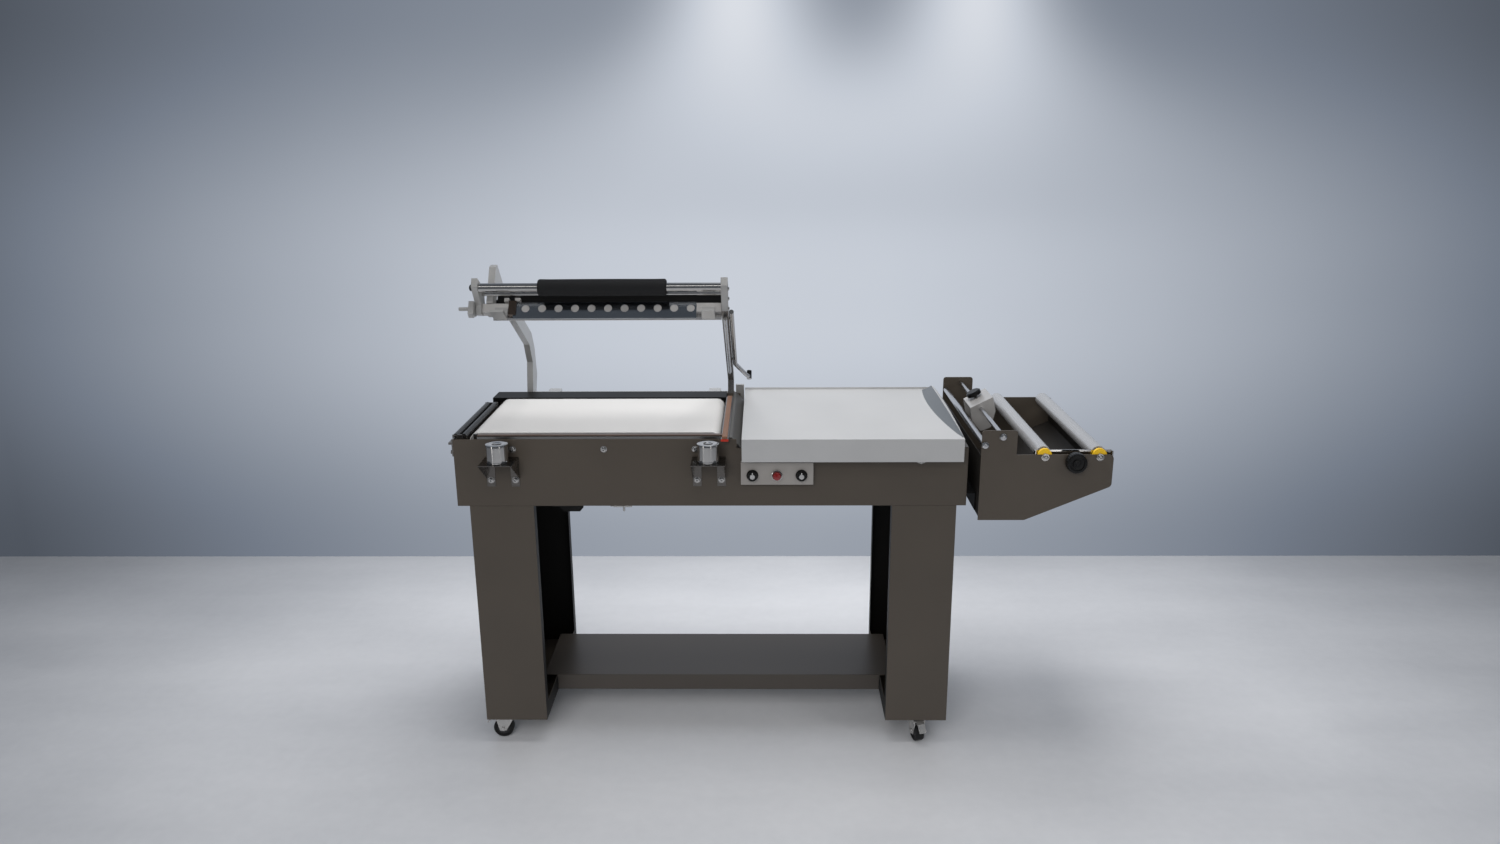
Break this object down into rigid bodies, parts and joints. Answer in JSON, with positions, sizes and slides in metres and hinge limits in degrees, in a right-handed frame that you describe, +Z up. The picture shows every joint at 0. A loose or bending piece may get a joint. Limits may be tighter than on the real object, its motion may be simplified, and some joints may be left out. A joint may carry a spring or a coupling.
{
  "type": "film sealing machine",
  "caption": "Free-standing film sealer with an L-shaped hot bar arm raised over a short belt conveyor, sliding product tray, film roll cradle with perforator, lower shelf and casters.",
  "frame": {"origin": "centre of the footprint on the floor", "axes": "+X along the machine from the belt to the film unwind, +Y from the operator to the back, +Z up"},
  "size_m": [1.726, 0.67, 1.3269],
  "materials": {
    "graphite_paint": "satin textured",
    "black_paint": "satin",
    "white_belt": "matte",
    "light_grey_paint": "satin",
    "mid_grey_paint": "satin",
    "brushed_plate": "brushed",
    "zinc": "zinc plated",
    "chrome": "polished",
    "aluminium": "satin",
    "cast_arm": "satin",
    "roller_tube": "satin",
    "dark_steel": "oiled",
    "foam": "matte",
    "seal_pad": "matte",
    "wheel_black": "matte",
    "knob_black": "satin",
    "yellow_plastic": "satin",
    "red_lens": "gloss",
    "dial_grey": "matte"
  },
  "bodies": {
    "table": {"left_leg": "graphite_paint", "right_leg": "graphite_paint", "lower_shelf": "graphite_paint", "underside_brackets": "zinc", "table_shell": "graphite_paint", "deck_plate": "mid_grey_paint", "rear_rail": "black_paint", "seal_holders": "brushed_plate", "seal_pads": "seal_pad", "front_bolts": "chrome", "holddown_magnets": "graphite_paint", "magnet_brackets": "brushed_plate", "conveyor_belt": "white_belt", "conveyor_bed": "brushed_plate", "gearmotor": "dark_steel", "exit_brackets": "black_paint", "control_panel": "brushed_plate", "unwind_front_plate": "graphite_paint", "unwind_back_plate": "graphite_paint", "cradle_trough": "graphite_paint", "unwind_bracket": "black_paint", "roller_bearings": "yellow_plastic", "roller_end_strip": "chrome", "film_guide_bars": "chrome", "hinge_blocks": "zinc"},
    "sealing_arm": {"left_arch_arm": "cast_arm", "front_seal_beam": "aluminium", "seal_blades": "brushed_plate", "side_seal_beam": "dark_steel", "seal_shroud": "brushed_plate", "handle_rods": "chrome", "foam_grip": "foam", "arm_end_brackets": "cast_arm", "magnet_keepers": "zinc", "hook_bar": "zinc", "hinge_shaft": "zinc"},
    "product_tray": {"product_tray": "light_grey_paint"},
    "drive_drum": {"drive_drum": "aluminium"},
    "idle_drum": {"idle_drum": "aluminium"},
    "inner_exit_roller": {"inner_exit_roller": "chrome"},
    "outer_exit_roller": {"outer_exit_roller": "chrome"},
    "left_film_roller": {"left_film_roller": "roller_tube"},
    "right_film_roller": {"right_film_roller": "roller_tube"},
    "tension_knob": {"tension_knob": "knob_black"},
    "left_dial": {"left_dial": "dial_grey"},
    "right_dial": {"right_dial": "dial_grey"},
    "stop_button": {"stop_button": "red_lens"},
    "perforator": {"perforator_bracket": "aluminium"},
    "perforator_wheel": {"perforator_wheel": "zinc"},
    "perforator_knob": {"perforator_knob": "knob_black"},
    "front_left_caster": {"front_left_caster_fork": "zinc"},
    "front_left_wheel": {"front_left_caster_wheel": "wheel_black"},
    "front_left_pedal": {"front_left_brake_pedal": "zinc"},
    "front_right_caster": {"front_right_caster_fork": "zinc"},
    "front_right_wheel": {"front_right_caster_wheel": "wheel_black"},
    "front_right_pedal": {"front_right_brake_pedal": "zinc"},
    "rear_left_caster": {"rear_left_caster_fork": "zinc"},
    "rear_left_wheel": {"rear_left_caster_wheel": "wheel_black"},
    "rear_right_caster": {"rear_right_caster_fork": "zinc"},
    "rear_right_wheel": {"rear_right_caster_wheel": "wheel_black"}
  },
  "joints": [
    {"name": "arm_hinge", "type": "hinge", "parent": "table", "child": "sealing_arm", "pos_m": [0, 0.28, 0.885], "axis": [1, 0, 0], "range_deg": [0, 33.3], "stiffness_Nm_per_rad": 30, "springref_deg": -74.48},
    {"name": "tray_slide", "type": "slide", "parent": "table", "child": "product_tray", "axis": [0, -1, 0], "range_m": [0, 0.06]},
    {"name": "drive_drum_spin", "type": "hinge", "parent": "table", "child": "drive_drum", "pos_m": [-0.7947, -0.207, 0.8757], "axis": [0, 1, 0], "continuous": true},
    {"name": "idle_drum_spin", "type": "hinge", "parent": "table", "child": "idle_drum", "pos_m": [-0.1773, -0.207, 0.8757], "axis": [0, 1, 0], "continuous": true},
    {"name": "inner_exit_roller_spin", "type": "hinge", "parent": "table", "child": "inner_exit_roller", "pos_m": [-0.833, -0.207, 0.89], "axis": [0, 1, 0], "continuous": true},
    {"name": "outer_exit_roller_spin", "type": "hinge", "parent": "table", "child": "outer_exit_roller", "pos_m": [-0.855, -0.207, 0.89], "axis": [0, 1, 0], "continuous": true},
    {"name": "left_film_roller_spin", "type": "hinge", "parent": "table", "child": "left_film_roller", "pos_m": [0.687, -0.267, 0.856], "axis": [0, 1, 0], "continuous": true},
    {"name": "right_film_roller_spin", "type": "hinge", "parent": "table", "child": "right_film_roller", "pos_m": [0.828, -0.267, 0.856], "axis": [0, 1, 0], "continuous": true},
    {"name": "tension_knob_turn", "type": "hinge", "parent": "table", "child": "tension_knob", "pos_m": [0.764, -0.282, 0.841], "axis": [0, -1, 0], "range_deg": [0, 720]},
    {"name": "left_dial_turn", "type": "hinge", "parent": "table", "child": "left_dial", "pos_m": [-0.068, -0.255, 0.801], "axis": [0, 1, 0], "range_deg": [0, 300]},
    {"name": "right_dial_turn", "type": "hinge", "parent": "table", "child": "right_dial", "pos_m": [0.06, -0.255, 0.801], "axis": [0, 1, 0], "range_deg": [0, 300]},
    {"name": "stop_button_press", "type": "slide", "parent": "table", "child": "stop_button", "axis": [0, 1, 0], "range_m": [0, 0.003], "stiffness_N_per_m": 800, "springref_m": -0.002},
    {"name": "perforator_swing", "type": "hinge", "parent": "table", "child": "perforator", "pos_m": [0.576, -0.003, 0.907], "axis": [0, 1, 0], "range_deg": [-25, 25]},
    {"name": "perforator_wheel_spin", "type": "hinge", "parent": "perforator", "child": "perforator_wheel", "pos_m": [0.58165, 0.017, 0.86948], "axis": [0, 1, 0], "continuous": true},
    {"name": "perforator_knob_turn", "type": "hinge", "parent": "perforator", "child": "perforator_knob", "pos_m": [0.57048, 0.07044, 0.92664], "axis": [-0.454, 0, 0.891], "range_deg": [-180, 180]},
    {"name": "front_left_swivel", "type": "hinge", "parent": "table", "child": "front_left_caster", "pos_m": [-0.763, -0.213, 0.073], "axis": [0, 0, 1], "continuous": true},
    {"name": "front_left_wheel_spin", "type": "hinge", "parent": "front_left_caster", "child": "front_left_wheel", "pos_m": [-0.783, -0.213, 0.028], "axis": [0, -1, 0], "continuous": true},
    {"name": "front_left_brake_press", "type": "hinge", "parent": "front_left_caster", "child": "front_left_pedal", "pos_m": [-0.795, -0.213, 0.062], "axis": [0, -1, 0], "range_deg": [0, 10]},
    {"name": "front_right_swivel", "type": "hinge", "parent": "table", "child": "front_right_caster", "pos_m": [0.388, -0.213, 0.073], "axis": [0, 0, 1], "continuous": true},
    {"name": "front_right_wheel_spin", "type": "hinge", "parent": "front_right_caster", "child": "front_right_wheel", "pos_m": [0.39318, -0.23232, 0.028], "axis": [0.9659, 0.2588, 0], "continuous": true},
    {"name": "front_right_brake_press", "type": "hinge", "parent": "front_right_caster", "child": "front_right_pedal", "pos_m": [0.39628, -0.24391, 0.062], "axis": [0.9659, 0.2588, 0], "range_deg": [0, 10]},
    {"name": "rear_left_swivel", "type": "hinge", "parent": "table", "child": "rear_left_caster", "pos_m": [-0.763, 0.189, 0.073], "axis": [0, 0, 1], "continuous": true},
    {"name": "rear_left_wheel_spin", "type": "hinge", "parent": "rear_left_caster", "child": "rear_left_wheel", "pos_m": [-0.773, 0.20632, 0.028], "axis": [-0.866, -0.5, 0], "continuous": true},
    {"name": "rear_right_swivel", "type": "hinge", "parent": "table", "child": "rear_right_caster", "pos_m": [0.388, 0.189, 0.073], "axis": [0, 0, 1], "continuous": true},
    {"name": "rear_right_wheel_spin", "type": "hinge", "parent": "rear_right_caster", "child": "rear_right_wheel", "pos_m": [0.37068, 0.199, 0.028], "axis": [-0.5, -0.866, 0], "continuous": true}
  ]
}
